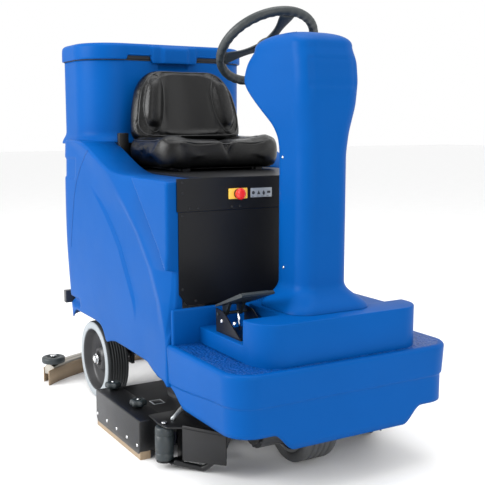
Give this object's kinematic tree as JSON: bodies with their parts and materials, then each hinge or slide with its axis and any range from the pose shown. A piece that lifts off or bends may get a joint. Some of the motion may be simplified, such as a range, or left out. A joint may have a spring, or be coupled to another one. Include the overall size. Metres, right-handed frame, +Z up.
{
  "type": "ride-on floor scrubber",
  "caption": "Ride-on floor scrubber: blue moulded body, steered drive wheel, disc-brush deck with splash guards, recovery tank with hinged lid, seat and curved rear squeegee.",
  "frame": {"origin": "on the floor, under the middle of the machine's length and width", "axes": "+Z up, the nose points to -Y, +X is the operator's left"},
  "size_m": [0.956, 1.66, 1.4348],
  "materials": {
    "body_blue": "moulded polyethylene, satin gloss",
    "black_steel": "black powder coat",
    "frame_steel": "black paint",
    "bright_steel": "zinc plated",
    "cast_grey": "cast, satin",
    "vinyl": "glossy black vinyl",
    "black_plastic": "moulded, fine grain",
    "wheel_rubber": "moulded grip rubber",
    "tyre": "grey sidewall, dark tread",
    "drive_tyre": "solid rubber",
    "gum": "natural gum rubber",
    "seal_rubber": "matt",
    "bristle": "nylon bristle",
    "yellow": "moulded",
    "red": "moulded",
    "light_plate": "printed plate",
    "battery_case": "moulded case",
    "motor_paint": "black enamel"
  },
  "bodies": {
    "chassis": {"main_frame": "frame_steel", "body_shell": "body_blue", "nose_cowl": "body_blue", "column_cover": "body_blue", "column_back_cover": "body_blue", "steering_mast": "frame_steel", "steering_chain": "bright_steel", "recovery_tank": "body_blue", "lid_gasket": "seal_rubber", "lid_hinges": "bright_steel", "control_strip": "black_steel", "access_panel": "black_steel", "estop_base": "yellow", "indicator_plate": "light_plate", "panel_screws": "black_steel", "battery_pack": "battery_case", "vacuum_motor": "motor_paint", "rear_axle": "bright_steel", "pedal_bracket": "black_steel"},
    "lid": {"tank_lid": "body_blue"},
    "seat_base": {"seat_plate": "black_steel"},
    "seat": {"seat_pan": "black_plastic", "seat_cushion": "vinyl", "seat_backrest": "vinyl"},
    "steering": {"steering_wheel": "wheel_rubber", "steering_shaft": "bright_steel"},
    "upright": {"upright_shaft": "bright_steel"},
    "drive_unit": {"steer_fork": "frame_steel", "drive_motor": "motor_paint"},
    "front_wheel": {"front_tyre": "drive_tyre", "front_hub": "cast_grey"},
    "rear_wheel_right": {"rear_tyre_right": "tyre", "rear_hub_right": "black_plastic"},
    "rear_wheel_left": {"rear_tyre_left": "tyre", "rear_hub_left": "black_plastic"},
    "pedal": {"accelerator_pedal": "black_steel"},
    "estop": {"estop_button": "red"},
    "lower_arms": {"lift_arms": "frame_steel"},
    "upper_links": {"lift_links": "frame_steel"},
    "deck": {"deck_plate": "black_steel", "brush_motors": "motor_paint", "side_box_right": "black_steel", "side_box_left": "black_steel", "side_screws": "bright_steel", "deck_blades": "gum", "deck_guard_right": "black_steel", "deck_guard_left": "black_steel"},
    "squeegee": {"squeegee_arm": "cast_grey", "squeegee_body": "cast_grey", "squeegee_blades": "gum"},
    "brush_right": {"scrub_brush_right": "bristle"},
    "roller_right": {"guard_roller_right": "black_plastic"},
    "front_knob_right": {"front_knob_right": "black_plastic"},
    "rear_knob_right": {"rear_knob_right": "black_plastic"},
    "bumper_wheel_right": {"bumper_wheel_right": "seal_rubber"},
    "brush_left": {"scrub_brush_left": "bristle"},
    "roller_left": {"guard_roller_left": "black_plastic"},
    "front_knob_left": {"front_knob_left": "black_plastic"},
    "rear_knob_left": {"rear_knob_left": "black_plastic"},
    "bumper_wheel_left": {"bumper_wheel_left": "seal_rubber"}
  },
  "joints": [
    {"name": "drive_steer", "type": "hinge", "parent": "chassis", "child": "drive_unit", "pos_m": [0, -0.56, 0.33], "axis": [0, 0, 1], "range_deg": [-60, 60]},
    {"name": "steering_turn", "type": "hinge", "parent": "chassis", "child": "steering", "pos_m": [0, -0.341, 1.318], "axis": [0, 0.6361, 0.7716], "range_deg": [-180, 180]},
    {"name": "upright_turn", "type": "hinge", "parent": "chassis", "child": "upright", "pos_m": [0, -0.645, 0.6], "axis": [0, 0, 1], "range_deg": [-180, 180]},
    {"name": "front_wheel_spin", "type": "hinge", "parent": "drive_unit", "child": "front_wheel", "pos_m": [0, -0.56, 0.125], "axis": [1, 0, 0], "continuous": true},
    {"name": "rear_wheel_right_spin", "type": "hinge", "parent": "chassis", "child": "rear_wheel_right", "pos_m": [0, 0.37, 0.1525], "axis": [1, 0, 0], "continuous": true},
    {"name": "rear_wheel_left_spin", "type": "hinge", "parent": "chassis", "child": "rear_wheel_left", "pos_m": [0, 0.37, 0.1525], "axis": [1, 0, 0], "continuous": true},
    {"name": "lid_open", "type": "hinge", "parent": "chassis", "child": "lid", "pos_m": [0, 0.748, 1.308], "axis": [-1, 0, 0], "range_deg": [0, 80]},
    {"name": "seat_tilt", "type": "hinge", "parent": "chassis", "child": "seat_base", "pos_m": [0, -0.388, 0.898], "axis": [1, 0, 0], "range_deg": [0, 30]},
    {"name": "seat_adjust", "type": "slide", "parent": "seat_base", "child": "seat", "axis": [0, -1, 0], "range_m": [0, 0.05]},
    {"name": "pedal_press", "type": "hinge", "parent": "chassis", "child": "pedal", "pos_m": [0, -0.508, 0.496], "axis": [1, 0, 0], "range_deg": [0, 14], "stiffness_Nm_per_rad": 8, "springref_deg": -14.32},
    {"name": "estop_press", "type": "slide", "parent": "chassis", "child": "estop", "axis": [0, 1, 0], "range_m": [0, 0.006], "stiffness_N_per_m": 600, "springref_m": -0.002},
    {"name": "deck_lift", "type": "hinge", "parent": "chassis", "child": "lower_arms", "pos_m": [0, 0.305, 0.28], "axis": [-1, 0, 0], "range_deg": [0, 12]},
    {"name": "link_lift", "type": "hinge", "parent": "chassis", "child": "upper_links", "pos_m": [0, 0.305, 0.325], "axis": [-1, 0, 0], "range_deg": [0, 12]},
    {"name": "deck_level", "type": "hinge", "parent": "lower_arms", "child": "deck", "pos_m": [0, 0.04, 0.14], "axis": [-1, 0, 0], "range_deg": [-12, 0]},
    {"name": "squeegee_lift", "type": "hinge", "parent": "chassis", "child": "squeegee", "pos_m": [0, 0.565, 0.235], "axis": [1, 0, 0], "range_deg": [0, 12]},
    {"name": "brush_right_spin", "type": "hinge", "parent": "deck", "child": "brush_right", "pos_m": [-0.185, -0.13, 0.06], "axis": [0, 0, 1], "continuous": true},
    {"name": "roller_right_spin", "type": "hinge", "parent": "deck", "child": "roller_right", "pos_m": [-0.417, -0.41, 0.08], "axis": [0, 0, 1], "continuous": true},
    {"name": "front_knob_right_turn", "type": "hinge", "parent": "deck", "child": "front_knob_right", "pos_m": [-0.412, -0.193, 0.14], "axis": [0, 0, 1], "range_deg": [0, 720]},
    {"name": "rear_knob_right_turn", "type": "hinge", "parent": "deck", "child": "rear_knob_right", "pos_m": [-0.412, 0.034, 0.14], "axis": [0, 0, 1], "range_deg": [0, 720]},
    {"name": "bumper_wheel_right_spin", "type": "hinge", "parent": "squeegee", "child": "bumper_wheel_right", "pos_m": [-0.43, 0.66, 0.09], "axis": [0, 0, 1], "continuous": true},
    {"name": "brush_left_spin", "type": "hinge", "parent": "deck", "child": "brush_left", "pos_m": [0.185, -0.13, 0.06], "axis": [0, 0, 1], "continuous": true},
    {"name": "roller_left_spin", "type": "hinge", "parent": "deck", "child": "roller_left", "pos_m": [0.417, -0.41, 0.08], "axis": [0, 0, 1], "continuous": true},
    {"name": "front_knob_left_turn", "type": "hinge", "parent": "deck", "child": "front_knob_left", "pos_m": [0.412, -0.193, 0.14], "axis": [0, 0, 1], "range_deg": [0, 720]},
    {"name": "rear_knob_left_turn", "type": "hinge", "parent": "deck", "child": "rear_knob_left", "pos_m": [0.412, 0.034, 0.14], "axis": [0, 0, 1], "range_deg": [0, 720]},
    {"name": "bumper_wheel_left_spin", "type": "hinge", "parent": "squeegee", "child": "bumper_wheel_left", "pos_m": [0.43, 0.66, 0.09], "axis": [0, 0, 1], "continuous": true}
  ],
  "couplings": [
    {"joint": "steering_turn", "follows": "drive_steer", "ratio": 3},
    {"joint": "upright_turn", "follows": "drive_steer", "ratio": 3},
    {"joint": "link_lift", "follows": "deck_lift", "ratio": 1},
    {"joint": "deck_level", "follows": "deck_lift", "ratio": -1}
  ]
}
